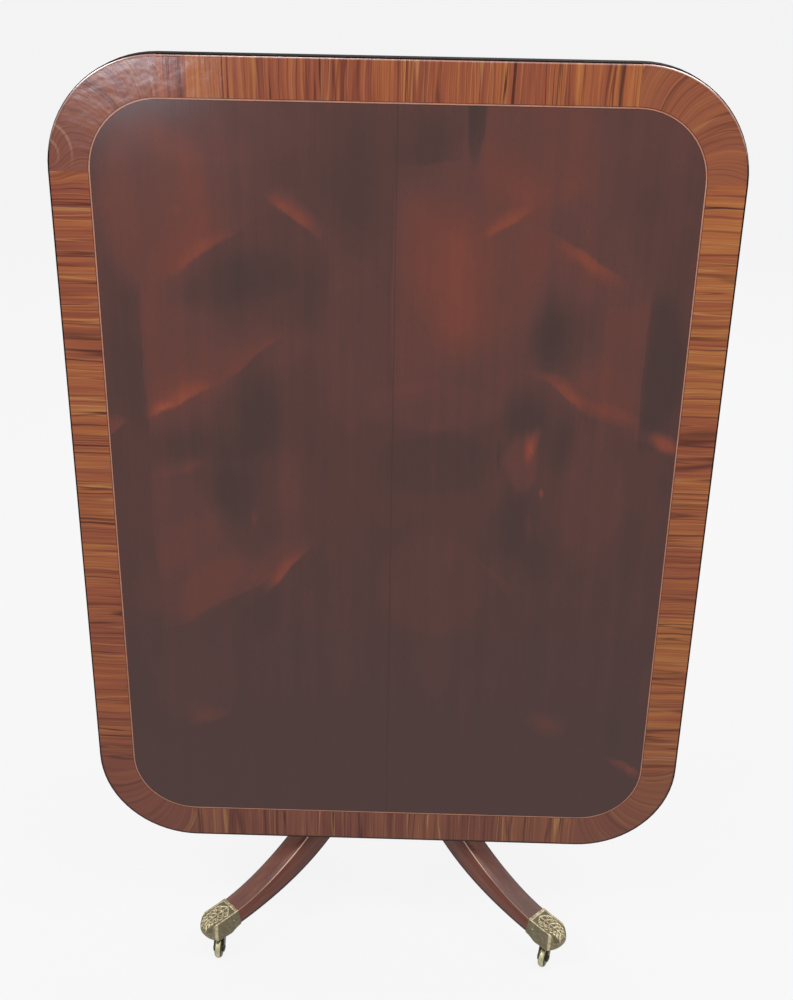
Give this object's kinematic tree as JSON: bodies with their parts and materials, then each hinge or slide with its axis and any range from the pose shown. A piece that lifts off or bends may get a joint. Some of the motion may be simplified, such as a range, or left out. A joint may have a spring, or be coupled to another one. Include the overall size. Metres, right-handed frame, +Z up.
{
  "type": "flip-top table",
  "caption": "Tilt-top breakfast table: a rounded rectangular crossbanded mahogany top that swings upright on a turned column with sabre legs and brass cup castors.",
  "frame": {"origin": "on the floor, under the middle of the column, with the top upright", "axes": "+Z up, +X along the pivot line and the short side of the top, and -Y out of the upright top's polished face"},
  "size_m": [0.915, 0.5612, 1.39],
  "materials": {
    "mahogany_field": "french polished bookmatched mahogany veneer",
    "crossband": "polished crossbanding with dark streaks",
    "ebonised_line": "stained line",
    "boxwood_stringing": "polished boxwood line",
    "dark_lipping": "dark polished hardwood edge",
    "mahogany_stand": "polished solid mahogany",
    "oak": "bare oak",
    "antique_brass": "cast and aged",
    "castor_brass": "worn bright on the treads",
    "fitting_brass": "satin",
    "iron": "dark and dull"
  },
  "bodies": {
    "stand": {"block": "mahogany_stand", "keeper_left": "fitting_brass", "keeper_right": "fitting_brass", "keeper_screws": "iron", "pivot_pin_left": "iron", "pivot_pin_right": "iron", "pivot_washers": "fitting_brass", "column": "mahogany_stand", "tenon_wedge": "oak", "leg_plate": "iron", "leg_plate_screws": "iron", "leg_front_left": "mahogany_stand", "leg_front_right": "mahogany_stand", "leg_rear_left": "mahogany_stand", "leg_rear_right": "mahogany_stand", "cup_front_left": "antique_brass", "cup_front_right": "antique_brass", "cup_rear_left": "antique_brass", "cup_rear_right": "antique_brass", "cup_pins": "antique_brass"},
    "top": {"board_left": "mahogany_field", "board_right": "mahogany_field", "crossband_left": "crossband", "crossband_right": "crossband", "crossband_head": "crossband", "crossband_foot": "crossband", "corner_head_left": "crossband", "corner_head_right": "crossband", "corner_foot_left": "crossband", "corner_foot_right": "crossband", "dark_line_outer": "ebonised_line", "light_stringing": "boxwood_stringing", "dark_line_inner": "ebonised_line", "edge_lipping": "dark_lipping", "bearer_left": "mahogany_stand", "bearer_right": "mahogany_stand", "bearer_screws": "iron", "bolt_barrel_left": "fitting_brass", "bolt_barrel_right": "fitting_brass", "barrel_screws": "iron"},
    "locking_bolt_left": {"bolt_left": "fitting_brass"},
    "locking_bolt_right": {"bolt_right": "fitting_brass"},
    "castor_front_left": {"fork_front_left": "castor_brass", "pintle_front_left": "iron", "axle_pin_front_left": "iron"},
    "roller_front_left": {"wheel_front_left": "castor_brass"},
    "castor_front_right": {"fork_front_right": "castor_brass", "pintle_front_right": "iron", "axle_pin_front_right": "iron"},
    "roller_front_right": {"wheel_front_right": "castor_brass"},
    "castor_rear_left": {"fork_rear_left": "castor_brass", "pintle_rear_left": "iron", "axle_pin_rear_left": "iron"},
    "roller_rear_left": {"wheel_rear_left": "castor_brass"},
    "castor_rear_right": {"fork_rear_right": "castor_brass", "pintle_rear_right": "iron", "axle_pin_rear_right": "iron"},
    "roller_rear_right": {"wheel_rear_right": "castor_brass"}
  },
  "joints": [
    {"name": "top_tilt", "type": "hinge", "parent": "stand", "child": "top", "pos_m": [0, -0.12, 0.66], "axis": [-1, 0, 0], "range_deg": [0, 90]},
    {"name": "bolt_slide_left", "type": "slide", "parent": "top", "child": "locking_bolt_left", "axis": [1, 0, 0], "range_m": [0, 0.014]},
    {"name": "bolt_slide_right", "type": "slide", "parent": "top", "child": "locking_bolt_right", "axis": [-1, 0, 0], "range_m": [0, 0.014]},
    {"name": "swivel_front_left", "type": "hinge", "parent": "stand", "child": "castor_front_left", "pos_m": [-0.26404, -0.25056, 0.041], "axis": [0, 0, 1], "continuous": true},
    {"name": "roll_front_left", "type": "hinge", "parent": "castor_front_left", "child": "roller_front_left", "pos_m": [-0.26473, -0.26054, 0.017], "axis": [-0.9976, 0.0698, 0], "continuous": true},
    {"name": "swivel_front_right", "type": "hinge", "parent": "stand", "child": "castor_front_right", "pos_m": [0.26404, -0.25056, 0.041], "axis": [0, 0, 1], "continuous": true},
    {"name": "roll_front_right", "type": "hinge", "parent": "castor_front_right", "child": "roller_front_right", "pos_m": [0.26029, -0.25983, 0.017], "axis": [-0.9272, 0.3746, 0], "continuous": true},
    {"name": "swivel_rear_left", "type": "hinge", "parent": "stand", "child": "castor_rear_left", "pos_m": [-0.26404, 0.25056, 0.041], "axis": [0, 0, 1], "continuous": true},
    {"name": "roll_rear_left", "type": "hinge", "parent": "castor_rear_left", "child": "roller_rear_left", "pos_m": [-0.26746, 0.25996, 0.017], "axis": [0.9397, 0.342, 0], "continuous": true},
    {"name": "swivel_rear_right", "type": "hinge", "parent": "stand", "child": "castor_rear_right", "pos_m": [0.26404, 0.25056, 0.041], "axis": [0, 0, 1], "continuous": true},
    {"name": "roll_rear_right", "type": "hinge", "parent": "castor_rear_right", "child": "roller_rear_right", "pos_m": [0.26543, 0.26046, 0.017], "axis": [0.9903, -0.1392, 0], "continuous": true}
  ]
}
